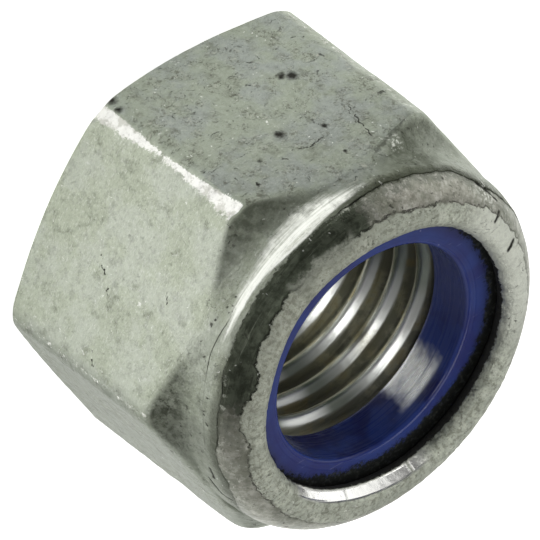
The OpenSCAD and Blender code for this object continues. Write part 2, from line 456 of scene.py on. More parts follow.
    def chamfer_rows(self, start_r):
        """Upper chamfer and the hollow fillet at its top"""
        s = self.s
        turn0 = acos(max(-1.0, min(1.0, (self.neck_c - min(start_r, self.neck_end_r)) / s.neck_round)))
        cone = max(0.0, start_r - self.neck_end_r) / cos(s.upper_slope)
        self.bend = cone + s.neck_round * turn0
        for i in range(self.CHAMFER_STEPS + 1):
            d = self.bend * i / self.CHAMFER_STEPS
            if d < cone:
                r = start_r - d * cos(s.upper_slope)
            else:
                r = self.neck_c - s.neck_round * cos(turn0 - (d - cone) / s.neck_round)
            z = self.upper(r)
            if i == self.CHAMFER_STEPS:
                r, z = s.collar_r, self.neck_z
            lump = self.waves("chamfer_lump", z) * (1 - stretch(-1.2, -0.2, d - self.bend))
            self.add(r - abs(self.waves("chamfer_ripple", z)) - abs(lump), z, "neck", d - self.bend + 2.0)

    def roll_rows(self):
        """The roll, with the crease on its outside and the torn step on its top"""
        s = self.s
        crease = self.crease = self.table(CREASE) + self.waves("crease")
        rim = self.rim = self.table(RIM) + self.waves("rim")
        end = self.end = s.roll_r * self.lip_turn
        open_ = max(0.0, self.table(CREASE_OPEN) * (0.8 + self.waves("crease_open")))
        step = max(0.0, self.table(RIM_STEP) * (0.8 + self.waves("rim_step")))
        for row in ROLL_ROWS:
            if row <= CREASE_MID:
                d = crease * row / CREASE_MID
            elif row <= RIM_MID:
                d = crease + (rim - crease) * (row - CREASE_MID) / (RIM_MID - CREASE_MID)
            else:
                d = rim + (end - rim) * (row - RIM_MID) / (ROLL_END - RIM_MID)
            past, over = d - crease, d - rim
            lift = self.crease_lift(past) * open_ + self.step_lift(over) * step
            lift += self.waves("roll", d) * stretch(0.2, 0.8, d)
            if over > 0:
                lift += self.waves("rim_grain", d)
                lift -= 0.10 * stretch(0.25, 0.7, self.waves("rim_folds", d)) * self.folded()
            self.add_on_roll(s.roll_r + lift, d / s.roll_r, "roll", d)

    def crease_lift(self, past):
        """Height of the open crease: a groove, a raised lip below it and a dip above it"""
        lift = -0.13 * max(0.0, 1 - abs(past) / 0.05)
        lift += 0.055 * stretch(-0.45, -0.04, past) * (past < 0)
        return lift - 0.045 * stretch(0.0, 0.03, past) * (1 - stretch(0.25, 0.9, past))

    def step_lift(self, over):
        """Height of the torn step: a raised edge and a dip before it"""
        lift = 0.09 * stretch(-0.02, 0.035, over) * (1 - 0.6 * stretch(0.1, 0.9, over))
        return lift - 0.035 * stretch(-0.35, -0.03, over) * (1 - stretch(-0.03, 0.0, over))

    def folded(self):
        """Folds of the rim on the far right of the opening, from 0 to 1"""
        return stretch(-190, -165, self.behind()) * (1 - stretch(-130, -110, self.behind()))

    def worn_lip(self):
        """Worn bevel on the far edge of the lip, from 0 to 1"""
        return stretch(36, 46, self.degrees) * (1 - stretch(100, 112, self.degrees))

    def glint(self):
        """Bare edge of the worn lip, coloured nearly white as a painted highlight, with small breaks, from 0 to 1
        """
        return self.worn_lip() * stretch(-0.75, -0.4, self.waves("glint_breaks"))

    def lip_rows(self):
        """Round end of the lip, with small tears and notches, or a bevel where it is worn"""
        rough = 1 - 0.85 * self.worn_lip()
        notch = self.waves("lip_notches", 1.0)
        for i in range(self.LIP_STEPS + 1):
            t = i / self.LIP_STEPS
            a = self.lip_turn + pi * t
            tear = self.waves("lip_tear", t) * stretch(0.0, 0.15, t)
            tear -= 0.12 * rough * stretch(0.05, 0.6, notch) * stretch(0.36, 0.5, t) * (1 - stretch(0.62, 0.85, t))
            burr = 0.05 * rough * stretch(0.42, 0.5, t) * (1 - stretch(0.5, 0.60, t)) * stretch(-0.3, 0.4, -notch)
            radius = self.lip_round + min(0.03, tear) + burr
            off = abs(a - self.WORN_BEVEL)
            if off < self.WORN_BEVEL_HALF:
                radius -= self.lip_round * (1 - cos(self.WORN_BEVEL_HALF) / cos(off)) * self.worn_lip()
            self.add(self.lip_centre + radius * cos(a), self.lip_z + radius * sin(a), "lip",
                     self.end + self.lip_round * pi * t)

    def bore_rows(self):
        """Thread with a bevel at the seat and a countersink below, from the top down"""
        s = self.s
        top = self.seat_z
        steps = ceil(top / self.THREAD_STEP)
        for i in range(steps):
            z = top * (1 - i / steps)
            cone = max(s.crest_r + z - (top - s.seat_bevel), s.countersink_r - z)
            turns = z / s.pitch - (self.turn + s.thread_turn) / (2 * pi)
            upward = (turns - round(turns)) * s.pitch
            groove = soft_min(s.crest_r + (abs(upward) - s.crest_w / 2) * sqrt(3), s.root_r, 0.45)
            if upward > 0:
                groove = soft_max(groove, s.crest_r + upward - 0.10, 0.08)
            groove = soft_max(groove, s.crest_r, 0.12) - 0.01
            r = soft_max(groove, cone, 0.10)
            if z > 0.2:
                r += abs(self.waves("thread_wear", z))
            # deep: how dark the steel is, from the depth of the groove for the stained roots, and painted shade on
            # the crest's lower side and the upper flank
            deep = stretch(s.crest_r + 0.42, s.crest_r + 0.9, groove) if groove > cone - 0.05 else 0.25
            deep = max(deep, stretch(0.02, 0.16, -upward), stretch(0.46, 0.74, upward))
            self.add(r, z, "thread", deep)


def spun(points, columns):
    """A closed outline of (radius, height) points spun once round the axis, its seam merged"""
    bm = bmesh.new()
    row_layer = bm.verts.layers.int.new("row")
    ring = []
    for i, (r, z) in enumerate(points):
        v = bm.verts.new((r * MM, 0.0, z * MM))
        v[row_layer] = i
        ring.append(v)
    edges = [bm.edges.new((a, b)) for a, b in zip(ring, ring[1:] + ring[:1])]
    bmesh.ops.spin(bm, geom=ring + edges, cent=(0, 0, 0), axis=(0, 0, 1), dvec=(0, 0, 0),
                   angle=2 * pi, steps=columns, use_merge=True)
    return bm, row_layer


def corner_crowded(turn):
    """Moves even columns towards the six upright edges"""
    return turn - 0.38 / 6 * sin(6 * turn)


def finish_mesh(bm, name, node_name):
    """Turns the bmesh into a shaded object that rides on the body and stands for its solid"""
    bmesh.ops.recalc_face_normals(bm, faces=bm.faces)
    if bm.calc_volume(signed=True) < 0:
        bmesh.ops.reverse_faces(bm, faces=bm.faces)
    mesh = bpy.data.meshes.new(name)
    bm.to_mesh(mesh)
    bm.free()
    mesh.shade_smooth()
    piece = bpy.data.objects.new(name, mesh)
    bpy.context.scene.collection.objects.link(piece)
    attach(piece, "root")
    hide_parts(node_name)
    return piece


class Graph:
    """Short way to add and join shader nodes in one material or world"""

    def __init__(self, tree):
        self.tree = tree
        tree.nodes.clear()

    def add(self, kind, *inputs, out=0, **settings):
        node = self.tree.nodes.new(kind)
        for key, value in settings.items():
            setattr(node, key, value)
        for i, value in enumerate(inputs):
            self.put(node.inputs[i], value)
        return node.outputs[out]

    def named(self, kind, out=0, **inputs):
        """A node whose inputs are filled by name"""
        node = self.tree.nodes.new(kind)
        for key, value in inputs.items():
            self.put(node.inputs[key.replace("_", " ")], value)
        return node.outputs[out]

    def put(self, socket, value):
        if isinstance(value, bpy.types.NodeSocket):
            self.tree.links.new(value, socket)
        elif socket.type == "RGBA" and len(value) == 3:
            socket.default_value = (*value, 1.0)
        else:
            socket.default_value = value

    def math(self, operation, *inputs):
        return self.add("ShaderNodeMath", *inputs, operation=operation)

    def plus(self, a, b):
        return self.math("ADD", a, b)

    def minus(self, a, b):
        return self.math("SUBTRACT", a, b)

    def times(self, a, b):
        return self.math("MULTIPLY", a, b)

    def size_of(self, value):
        return self.math("ABSOLUTE", value)

    def most(self, *values):
        total = values[0]
        for value in values[1:]:
            total = self.math("MAXIMUM", total, value)
        return total

    def vector(self, operation, *inputs, out=0):
        return self.add("ShaderNodeVectorMath", *inputs, operation=operation, out=out)

    def moved(self, a, b):
        return self.vector("ADD", a, b)

    def stretched(self, vector, factors):
        return self.vector("MULTIPLY", vector, factors)

    def scaled(self, vector, factor):
        node = self.tree.nodes.new("ShaderNodeVectorMath")
        node.operation = "SCALE"
        self.put(node.inputs["Vector"], vector)
        self.put(node.inputs["Scale"], factor)
        return node.outputs[0]

    def toward(self, vector, direction):
        """How far a vector goes in one direction"""
        return self.vector("DOT_PRODUCT", vector, direction, out="Value")

    def from_axis(self, mm):
        """Distance from the axis of the nut"""
        return self.vector("LENGTH", self.stretched(mm, (1, 1, 0)), out="Value")

    def round_way(self, mm):
        """Level direction from the axis of the nut"""
        return self.vector("NORMALIZE", self.stretched(mm, (1, 1, 0)))

    def turned(self, vector, rotation, scale, location=(0, 0, 0)):
        return self.named("ShaderNodeMapping", Vector=vector, Location=location, Rotation=rotation,
                          Scale=scale)

    def millimetres(self):
        return self.scaled(self.tree.nodes.new("ShaderNodeTexCoord").outputs["Object"], 1000.0)

    def attribute(self, name):
        return self.add("ShaderNodeAttribute", attribute_name=name, out="Fac")

    def step(self, value, low, high, to_low=0.0, to_high=1.0):
        return self.add("ShaderNodeMapRange", value, low, high, to_low, to_high,
                        interpolation_type="SMOOTHSTEP")

    def ramp(self, value, low, high, to_low=0.0, to_high=1.0):
        return self.add("ShaderNodeMapRange", value, low, high, to_low, to_high)

    def noise(self, vector, scale, detail=3.0, rough=0.55, out=0):
        return self.named("ShaderNodeTexNoise", Vector=vector, Scale=scale, Detail=detail,
                          Roughness=rough, out=out)

    def cells(self, vector, scale):
        return self.named("ShaderNodeTexVoronoi", Vector=vector, Scale=scale)

    def shaken(self, mm, scale, detail, amount):
        """A place moved a little to and fro by noise"""
        drift = self.vector("SUBTRACT", self.noise(mm, scale, detail, out="Color"), (0.5, 0.5, 0.5))
        return self.moved(mm, self.scaled(drift, amount))

    def mix(self, factor, a, b):
        """Colour a, and colour b where factor is 1"""
        node = self.tree.nodes.new("ShaderNodeMix")
        node.data_type = "RGBA"
        for i, value in ((0, factor), (6, a), (7, b)):
            self.put(node.inputs[i], value)
        return node.outputs[2]

    def layers(self, colour, *coats):
        """A colour under coats, each given as (mask, colour)"""
        for mask, coat in coats:
            colour = self.mix(mask, colour, coat)
        return colour

    def blend(self, factor, a, b):
        """Number a, and number b where factor is 1"""
        node = self.tree.nodes.new("ShaderNodeMix")
        for i, value in ((0, factor), (2, a), (3, b)):
            self.put(node.inputs[i], value)
        return node.outputs[0]

    def bump(self, height, distance, strength):
        return self.named("ShaderNodeBump", Strength=strength, Distance=distance, Height=height)

    def spot(self, where, centre, radius, soft=0.5):
        """1 inside radius of centre, 0 outside"""
        d = self.vector("DISTANCE", where, centre, out="Value")
        return self.ramp(d, radius * (1 - soft), radius * (1 + soft), 1.0, 0.0)

    def scratch(self, where, start, end, width):
        """1 along the line from start to end"""
        a, line = Vector(start), Vector(end) - Vector(start)
        way = tuple(line.normalized())
        from_a = self.vector("SUBTRACT", where, tuple(a))
        t = self.math("MINIMUM", self.math("MAXIMUM", self.toward(from_a, way), 0.0), line.length)
        d = self.vector("LENGTH", self.vector("SUBTRACT", from_a, self.scaled(way, t)), out="Value")
        return self.ramp(d, width * 0.4, width * 1.3, 1.0, 0.0)

    def surface(self, colour, roughness, metallic, normal, **extra):
        """A shader with these inputs, joined to the output"""
        self.output(self.named("ShaderNodeBsdfPrincipled", Base_Color=colour, Roughness=roughness,
                               Metallic=metallic, Normal=normal, **extra))

    def output(self, shader, kind="ShaderNodeOutputMaterial"):
        self.tree.links.new(shader, self.tree.nodes.new(kind).inputs[0])


def new_material(name):
    material = bpy.data.materials.new(name)
    material.use_nodes = True
    return material, Graph(material.node_tree)


# Pits on the flats: centre and radius in mm, as the photo shows them
PITS = [((7.58, -15.0, 1.1), 0.36), ((7.85, -14.95, 2.25), 0.24), ((-2.05, -15.0, 13.2), 0.2),
        ((3.96, -15.0, 13.2), 0.16), ((5.7, -15.0, 15.1), 0.18), ((-1.44, -15.0, 16.3), 0.14),
        ((-3.9, -15.0, 7.4), 0.4), ((-3.3, -15.0, 6.9), 0.3), ((1.0, -15.0, 11.9), 0.34)]
# Scratches on the flats: both ends and half the width in mm
SCRATCHES = [((1.1, -15, 13.9), (0.27, -15, 14.34), 0.05), ((0.27, -15, 14.34), (-1.15, -15, 14.1), 0.07),
             ((-4.78, -15, 12.6), (-4.22, -15, 14.5), 0.05), ((-4.22, -15, 14.5), (-3.94, -15, 16.2), 0.06),
             ((-4.45, -15, 12.9), (-3.95, -15, 14.6), 0.03), ((13.2, -7.14, 6.6), (13.74, -6.2, 7.6), 0.05),
             ((14.07, -5.63, 8.3), (14.31, -5.21, 8.6), 0.06),
             ((16.38, -1.63, 9.3), (16.8, -0.9, 9.85), 0.06),
             ((12.82, -7.8, 13.5), (13.19, -7.16, 13.9), 0.05)]


# Cracks on the chamfer, the shoulder and the rim, written the same way
CRACKS = [((-7.33, -14.99, 16.1), (-6.02, -14.77, 16.54), 0.10),
          ((-6.02, -14.77, 16.54), (-4.77, -14.76, 16.92), 0.13),
          ((-4.77, -14.76, 16.92), (-3.14, -14.73, 17.54), 0.09),
          ((-9.86, -7.9, 22.64), (-10.59, -8.17, 22.22), 0.06),
          ((-10.93, -4.84, 22.8), (-11.57, -5.3, 22.6), 0.07),
          ((-9.44, -10.81, 21.05), (-10.3, -9.7, 21.35), 0.06),
          ((-10.3, -9.7, 21.35), (-10.89, -8.75, 21.64), 0.05),
          ((14.21, 3.72, 19.76), (13.92, 4.66, 19.84), 0.06),
          ((13.69, 5.34, 18.99), (13.04, 6.78, 19.63), 0.06),
          ((13.04, 6.78, 19.63), (12.83, 6.9, 20.5), 0.04),
          ((9.87, 11.38, 17.54), (8.56, 13.03, 16.84), 0.06)]

# Depth in metres that the bump of the cut steel stands for, and how many of the cracks are wide grooves
STEEL_DEPTH = 0.00004
GROOVES = 3


def plating(g, mm, finish, pale):
    """Colour and height of dull, grainy, mottled zinc, with painted light and shade on each flat from pale and
    tone
    """
    drift = g.noise(mm, 0.6, 2, out="Color")
    bent = g.moved(mm, g.scaled(drift, 2.4))
    patches = g.noise(mm, 0.28, 5, 0.62)
    mottle = g.noise(mm, 0.95, 6, 0.68)
    grain = g.noise(mm, 4.2, 4, 0.72)
    brushed = g.noise(g.turned(bent, (0.5, 0.9, 0.3), (0.7, 4.0, 4.0)), 1.0, 4, 0.62)
    rough_spots = g.step(g.noise(mm, 0.75, 3, 0.6), 0.53, 0.60)
    rough_spots = g.times(rough_spots, g.minus(1.0, g.times(pale, 0.8)))
    speckle = g.noise(mm, 2.6, 4, 0.75)
    fleck = g.noise(g.turned(bent, (0.2, 0.6, 0.9), (3.0, 9.0, 9.0)), 1.0, 2, 0.5)
    fleck = g.times(g.step(fleck, 0.62, 0.69), g.step(patches, 0.40, 0.56, 0.1, 0.55))
    fine = g.noise(g.turned(mm, (0.2, 0.3, 1.0), (3.5, 3.5, 9.0)), 1.0, 3, 0.7)
    cool = g.times(g.step(patches, 0.42, 0.62, 0.0, 0.6), g.step(pale, 0.16, 0.27, 1.0, 0.0))
    colour = g.mix(pale, finish.zinc_cool, finish.zinc)
    colour = g.layers(
        colour,
        (cool, (0.355, 0.385, 0.37)),
        (g.step(patches, 0.58, 0.40, 0.0, 0.35), (0.42, 0.46, 0.35)),
        (g.step(mottle, 0.50, 0.30, 0.0, 0.55), (0.150, 0.160, 0.115)),
        (g.step(mottle, 0.55, 0.75, 0.0, 0.45), (0.52, 0.55, 0.46)),
        (g.step(grain, 0.55, 0.72, 0.0, 0.50), (0.62, 0.65, 0.56)),
        (g.step(grain, 0.42, 0.28, 0.0, 0.50), (0.110, 0.115, 0.085)),
        (g.step(brushed, 0.60, 0.74, 0.0, 0.5), (0.60, 0.62, 0.54)),
        (g.times(rough_spots, g.step(speckle, 0.50, 0.40, 0.0, 0.8)), (0.085, 0.085, 0.055)),
        (g.times(rough_spots, g.step(speckle, 0.54, 0.64, 0.0, 0.8)), (0.60, 0.61, 0.52)),
        (g.times(fleck, pale), (0.84, 0.86, 0.80)),
        (g.times(pale, g.step(fine, 0.54, 0.68, 0.0, 0.5)), (0.88, 0.90, 0.85)),
        (g.times(pale, g.step(fine, 0.46, 0.32, 0.0, 0.45)), (0.30, 0.32, 0.27)),
        (g.times(pale, g.step(patches, 0.44, 0.58, 0.0, 0.35)), (0.60, 0.63, 0.58)),
        # tone: painted shade, darkening the flats that the light grazes
        (g.attribute("tone"), (0.070, 0.078, 0.058)))
    height = g.plus(g.times(mottle, 1.0), g.times(grain, 0.38))
    height = g.plus(height, g.times(brushed, 0.30))
    height = g.plus(height, g.times(rough_spots, g.times(speckle, 0.9)))
    return colour, height


# Rotation and threshold of each set of short scratches
HAIR_LINES = (((0.4, 0.3, 0.2), 0.69), ((0.1, 1.2, 0.9), 0.70), ((1.3, 0.2, 2.2), 0.69))


def blemishes(g, mm):
    """Dark pits and short scratches, and bright nicks, as two masks"""
    drift = g.noise(mm, 0.8, 3, out="Color")
    bent = g.moved(mm, g.scaled(drift, 2.0))
    where = g.noise(mm, 0.30, 3)
    pits = g.step(g.cells(bent, 1.15), 0.07, 0.20, 1.0, 0.0)
    pits = g.times(pits, g.step(where, 0.47, 0.60))
    hair = None
    for k, (rotation, low) in enumerate(HAIR_LINES):
        lines = g.noise(g.turned(bent, rotation, (0.45, 5.5, 5.5), (k * 3.1, k * 7.7, 1.3)), 1.0, 2, 0.4)
        lines = g.step(lines, low, low + 0.06)
        hair = lines if hair is None else g.most(hair, lines)
    hair = g.times(hair, g.step(g.noise(mm, 0.4, 2), 0.42, 0.58, 0.15, 0.8))
    nicks = g.step(g.cells(g.moved(bent, (3.3, 1.7, 8.2)), 1.3), 0.05, 0.14, 1.0, 0.0)
    nicks = g.times(nicks, g.step(where, 0.56, 0.44))
    return g.most(pits, hair), nicks


def zinc_material(finish):
    """Dull plating of the flats, with the pits and scratches that the photo shows and worn edges, the front edge
    coloured as a painted highlight
    """
    material, g = new_material("zinc_plating")
    mm = g.millimetres()
    pale = g.attribute("pale")
    colour, height = plating(g, mm, finish, pale)
    dark, nicks = blemishes(g, mm)
    dark = g.times(dark, g.ramp(pale, 0.1, 0.9, 1.0, 0.25))
    torn = g.shaken(mm, 2.6, 3, 0.55)
    known = g.most(*[g.spot(torn, *pit) for pit in PITS], *[g.scratch(torn, *line) for line in SCRATCHES])
    dark = g.most(g.times(dark, 0.75), known)
    rag = g.ramp(g.noise(mm, 2.4, 6, 0.82), 0.0, 1.0, -1.5, 1.5)
    # worn: wear on every edge, and on the front edge a wide band painted nearly white as a highlight
    worn = g.step(g.plus(g.attribute("worn"), rag), 0.36, 0.70)
    colour = g.mix(g.times(nicks, 0.8), colour, finish.burnished)
    scraped_and_highlight = g.mix(g.step(g.noise(mm, 0.9, 5, 0.7), 0.40, 0.52), (0.66, 0.66, 0.60), (0.95, 0.95, 0.90))
    colour = g.mix(worn, colour, scraped_and_highlight)
    colour = g.mix(g.times(dark, g.ramp(worn, 0.0, 1.0, 1.0, 0.25)), colour, finish.soot)
    rough = g.ramp(g.noise(mm, 2.6, 4), 0.3, 0.7, 0.38, 0.60)
    rough = g.blend(worn, rough, 0.30)
    rough = g.blend(dark, rough, 0.7)
    height = g.minus(height, g.times(dark, 0.9))
    normal = g.bump(height, 0.00016, 0.75)
    g.surface(colour, rough, 0.8, normal, IOR=1.5)
    return material


def crown_material(finish):
    """Plating of the neck and the roll: burnished by the roller, creased, and grainy round the opening, with
    painted highlights on the collar and the lip and painted shade on the shoulder, the chamfer and under the rim
    and lip
    """
    material, g = new_material("rolled_plating")
    mm = g.millimetres()
    along = g.attribute("along")
    from_crease = g.attribute("from_crease")
    from_rim = g.attribute("from_rim")
    flat = g.stretched(mm, (0.22, 0.22, 0.0))
    line = g.add("ShaderNodeCombineXYZ", 0.0, 0.0, g.times(along, 4.0))
    streaks = g.noise(g.moved(flat, line), 1.0, 5, 0.68)
    zinc, height = plating(g, mm, finish, g.attribute("pale"))
    fade = g.attribute("fade")
    dark, nicks = blemishes(g, mm)
    mottle = g.noise(mm, 1.2, 5, 0.65)
    patches = g.noise(mm, 0.33, 4, 0.6)
    ragged = g.ramp(g.noise(mm, 3.4, 6, 0.75), 0.0, 1.0, -0.40, 0.40)
    rim = g.step(g.plus(from_rim, ragged), -0.02, 0.05)
    worn_rim = g.step(g.plus(from_rim, g.times(ragged, 2.0)), -0.45, 0.75)
    rim = g.blend(g.step(g.attribute("torn"), 0.25, 0.6), worn_rim, rim)
    band = g.step(g.plus(from_crease, ragged), -0.03, 0.07)
    # polished: burnished zinc, which also paints the highlight of the crescent on the collar
    polished = g.mix(g.step(streaks, 0.30, 0.62), (0.64, 0.66, 0.58), finish.burnished)
    shine = g.plus(g.attribute("burnish_and_highlight"), g.ramp(mottle, 0.2, 0.8, -0.30, 0.30))
    shine = g.plus(shine, g.ramp(patches, 0.3, 0.7, -0.08, 0.08))
    shine = g.step(g.plus(shine, g.ramp(streaks, 0.2, 0.8, -0.25, 0.25)), 0.15, 1.0)
    # cone and fade: painted shade on the chamfer, mottled and broken up near the corner
    cone = g.times(g.step(along, -0.6, 1.5, 1.0, 0.25), g.step(mottle, 0.34, 0.60, 0.5, 1.0))
    corner = g.step(g.toward(mm, (1.0, 0.0, 0.0)), 11.0, 13.5)
    broken_up = g.step(g.noise(mm, 1.1, 7, 0.78), 0.42, 0.55, 0.35, 1.45)
    cone = g.times(cone, g.blend(corner, 1.0, broken_up))
    cone = g.times(g.times(cone, fade), g.attribute("cone"))
    zinc = g.mix(g.times(fade, g.ramp(g.attribute("pale"), 0.1, 0.9, 0.5, 0.25)), zinc, (0.21, 0.23, 0.18))
    zinc = g.mix(g.times(cone, 0.88), zinc, (0.090, 0.100, 0.072))
    stain = g.step(g.plus(from_crease, g.ramp(patches, 0.2, 0.8, -1.1, 1.1)), -1.5, -0.2)
    stain = g.times(g.times(stain, g.attribute("olive")), 0.7)
    zinc = g.mix(stain, zinc, (0.105, 0.115, 0.07))
    colour = g.mix(shine, zinc, polished)
    brown = g.mix(g.step(patches, 0.44, 0.60), finish.band, (0.40, 0.39, 0.335))
    brown = g.mix(g.step(mottle, 0.53, 0.66, 0.0, 0.75), brown, (0.60, 0.59, 0.53))
    brown = g.mix(g.step(mottle, 0.46, 0.34, 0.0, 0.6), brown, (0.15, 0.145, 0.11))
    outer = g.plus(from_crease, g.ramp(g.noise(mm, 0.9, 4, 0.65), 0.2, 0.8, -0.9, 0.9))
    outer = g.times(g.step(outer, 0.5, 1.3, 1.0, 0.0), g.ramp(g.attribute("olive"), 0.0, 1.0, 0.2, 0.85))
    brown = g.mix(outer, brown, (0.145, 0.155, 0.125))
    pale_band = g.mix(g.step(mottle, 0.42, 0.66), (0.24, 0.26, 0.20), (0.46, 0.48, 0.40))
    brown = g.mix(g.attribute("brown"), pale_band, brown)
    brown = g.mix(g.step(g.noise(mm, 2.0, 6, 0.75), 0.50, 0.60, 0.0, 0.45), brown, (0.56, 0.55, 0.49))
    brown = g.mix(g.step(g.noise(mm, 0.7, 3, 0.6), 0.52, 0.40, 0.0, 0.35), brown, (0.13, 0.14, 0.10))
    darker = g.mix(g.step(mottle, 0.40, 0.62), (0.050, 0.058, 0.040), (0.095, 0.108, 0.078))
    darker = g.mix(g.step(streaks, 0.57, 0.72, 0.0, 0.6), darker, (0.24, 0.26, 0.20))
    darker = g.mix(g.step(streaks, 0.45, 0.34, 0.0, 0.7), darker, (0.035, 0.040, 0.026))
    rubbed = g.plus(from_rim, g.ramp(g.noise(mm, 1.1, 5, 0.7), 0.2, 0.8, -0.8, 0.8))
    rubbed = g.times(g.step(rubbed, -0.7, 0.1), g.step(g.attribute("torn"), 0.25, 0.6, 1.0, 0.0))
    darker = g.mix(g.times(rubbed, 0.75), darker, (0.42, 0.44, 0.37))
    # shoulder: darker metal and painted shade on the shoulder
    shoulder = g.plus(g.attribute("shoulder"), g.ramp(mottle, 0.2, 0.8, -0.3, 0.3))
    brown = g.mix(g.step(shoulder, 0.35, 0.75), brown, darker)
    colour = g.mix(band, colour, brown)
    grain = g.noise(mm, 5.0, 3, 0.65)
    blotch = g.noise(mm, 2.2, 4, 0.7)
    way = g.round_way(mm)
    across = g.add("ShaderNodeCombineXYZ", 0.0, 0.0, g.times(along, 0.9))
    wrinkles = g.noise(g.moved(g.scaled(way, 34.0), across), 1.0, 4, 0.62)
    rim_colour = g.mix(g.step(wrinkles, 0.34, 0.66), (0.47, 0.495, 0.42), finish.rim)
    rim_colour = g.layers(
        rim_colour,
        (g.step(mottle, 0.50, 0.70, 0.0, 0.5), (0.72, 0.74, 0.65)),
        (g.step(mottle, 0.44, 0.30, 0.0, 0.5), (0.25, 0.26, 0.205)),
        (g.step(grain, 0.48, 0.32, 0.0, 0.55), (0.19, 0.20, 0.155)),
        (g.step(streaks, 0.45, 0.34, 0.0, 0.35), (0.24, 0.24, 0.18)),
        (g.step(blotch, 0.52, 0.38, 0.0, 0.6), (0.20, 0.205, 0.155)),
        (g.step(patches, 0.54, 0.38, 0.0, 0.35), (0.27, 0.29, 0.235)),
        # far: painted light, the rim on the far right made paler
        (g.times(g.attribute("far"), 0.6), (0.86, 0.88, 0.79)),
        # painted shade on the rim over the dark shoulder
        (g.times(g.attribute("shoulder"), 0.35), (0.25, 0.255, 0.20)))
    colour = g.mix(rim, colour, rim_colour)
    line_noise = g.plus(from_crease, g.times(ragged, 0.3))
    crack = g.step(g.size_of(line_noise), 0.01, 0.055, 1.0, 0.0)
    broken = g.step(g.noise(mm, 0.9, 4), 0.46, 0.56, 0.05, 0.95)
    crack = g.times(crack, g.times(g.attribute("crack"), broken))
    # above: painted shade, a soft dark band on the neck side of the crease
    above = g.step(g.plus(from_crease, g.times(ragged, 1.8)), -0.95, -0.15)
    above = g.times(above, g.step(g.plus(from_crease, ragged), -0.02, 0.35, 1.0, 0.0))
    above = g.times(above, g.ramp(g.attribute("olive"), 0.0, 1.0, 0.2, 0.95))
    colour = g.mix(above, colour, (0.046, 0.052, 0.032))
    second = g.plus(g.attribute("second"), g.times(ragged, 0.25))
    hair = g.times(g.step(g.size_of(second), 0.02, 0.10, 1.0, 0.0), g.attribute("doubled"))
    hair = g.times(hair, g.step(g.noise(mm, 0.7, 3), 0.44, 0.56, 0.35, 1.0))
    torn_off = g.plus(from_crease, g.times(ragged, 1.6))
    flake = g.times(g.step(torn_off, -0.02, 0.04), g.step(torn_off, 0.30, 0.36, 1.0, 0.0))
    flake = g.times(flake, g.step(g.noise(mm, 1.3, 6, 0.7), 0.50, 0.60))
    flake = g.times(flake, g.step(g.attribute("crack"), 0.1, 0.4))
    flake = g.times(flake, g.step(g.attribute("olive"), 0.5, 0.9, 1.0, 0.0))
    colour = g.mix(g.times(flake, 0.65), colour, (0.52, 0.545, 0.46))
    # under: painted shadow, a thin dark line under the torn edge of the rim
    edge = g.plus(g.plus(from_rim, ragged), 0.07)
    under = g.times(g.step(g.size_of(edge), 0.02, 0.09, 1.0, 0.0), g.attribute("torn"))
    under = g.times(under, g.step(mottle, 0.40, 0.56, 0.2, 0.9))
    # inside: dirty black and painted shade on the underside of the lip and in the hollow
    inside = g.attribute("inside")
    grime_and_shade = g.step(g.plus(inside, g.ramp(g.noise(mm, 3.6, 6, 0.8), 0.0, 1.0, -1.0, 1.0)), 0.40, 0.58)
    specks = g.times(dark, g.ramp(shine, 0.0, 1.0, 0.75, 0.2))
    shaken = g.shaken(mm, 2.4, 4, 0.7)
    wavy = g.moved(g.scaled(mm, 0.6), g.scaled(shaken, 0.4))
    groove = g.most(*[g.scratch(shaken, a, b, w * 1.8) for a, b, w in CRACKS[:GROOVES]])
    thin = [g.scratch(wavy, a, b, w * 2.4) for a, b, w in CRACKS[GROOVES:]]
    specks = g.most(specks, g.times(groove, 0.45), *thin)
    olive = g.spot(shaken, (-5.5, -13.7, 18.8), 2.1, 0.75)
    below = g.step(from_crease, -0.05, 0.05, 1.0, 0.0)
    olive = g.times(olive, g.times(g.step(mottle, 0.36, 0.56, 0.35, 0.8), below))
    colour = g.mix(olive,
                   colour, (0.085, 0.098, 0.062))
    flaked = g.most(g.spot(shaken, (-5.0, -14.4, 17.2), 0.55, 0.8),
                    g.spot(shaken, (-5.1, -15.0, 16.1), 0.5, 0.8),
                    g.spot(shaken, (-9.9, -9.6, 21.3), 0.9, 0.8))
    flaked = g.times(flaked, g.step(g.noise(mm, 3.2, 3, 0.7), 0.52, 0.58))
    colour = g.mix(flaked, colour, (0.80, 0.82, 0.74))
    # Dark marks: cracks, specks and hairlines, with painted shade under the torn rim and under the lip
    dirt_and_shade = g.most(crack, g.times(under, 0.85), specks, grime_and_shade, g.times(hair, 0.95))
    colour = g.mix(g.times(nicks, 0.55), colour, finish.burnished)
    colour = g.mix(dirt_and_shade, colour, finish.soot)
    # glint: painted highlight on the worn edge of the lip
    glint = g.attribute("glint")
    glint = g.times(glint, g.minus(1.0, grime_and_shade))
    colour = g.mix(glint, colour, (0.97, 0.97, 0.93))
    rough = g.blend(shine, g.ramp(mottle, 0.3, 0.7, 0.40, 0.60), g.ramp(streaks, 0.3, 0.7, 0.22, 0.38))
    rough = g.blend(band, rough, g.ramp(mottle, 0.3, 0.7, 0.30, 0.46))
    rough = g.blend(rim, rough, 0.60)
    rough = g.blend(dirt_and_shade, rough, 0.75)
    rough = g.blend(glint, rough, 0.2)
    relief = g.blend(g.most(shine, g.minus(band, rim)), 1.0, 0.35)
    height = g.times(height, relief)
    height = g.plus(height, g.times(flake, 0.5))
    height = g.plus(height, g.times(streaks, 0.25))
    height = g.plus(height, g.times(grain, g.blend(rim, 0.1, 0.40)))
    height = g.plus(height, g.times(wrinkles, g.blend(rim, 0.0, 0.22)))
    height = g.minus(height, g.times(dirt_and_shade, 0.7))
    height = g.times(height, g.ramp(glint, 0.0, 1.0, 1.0, 0.15))
    normal = g.bump(height, 0.00016, 0.75)
    g.surface(colour, rough, g.blend(grime_and_shade, 0.85, 0.1), normal, IOR=1.5)
    return material


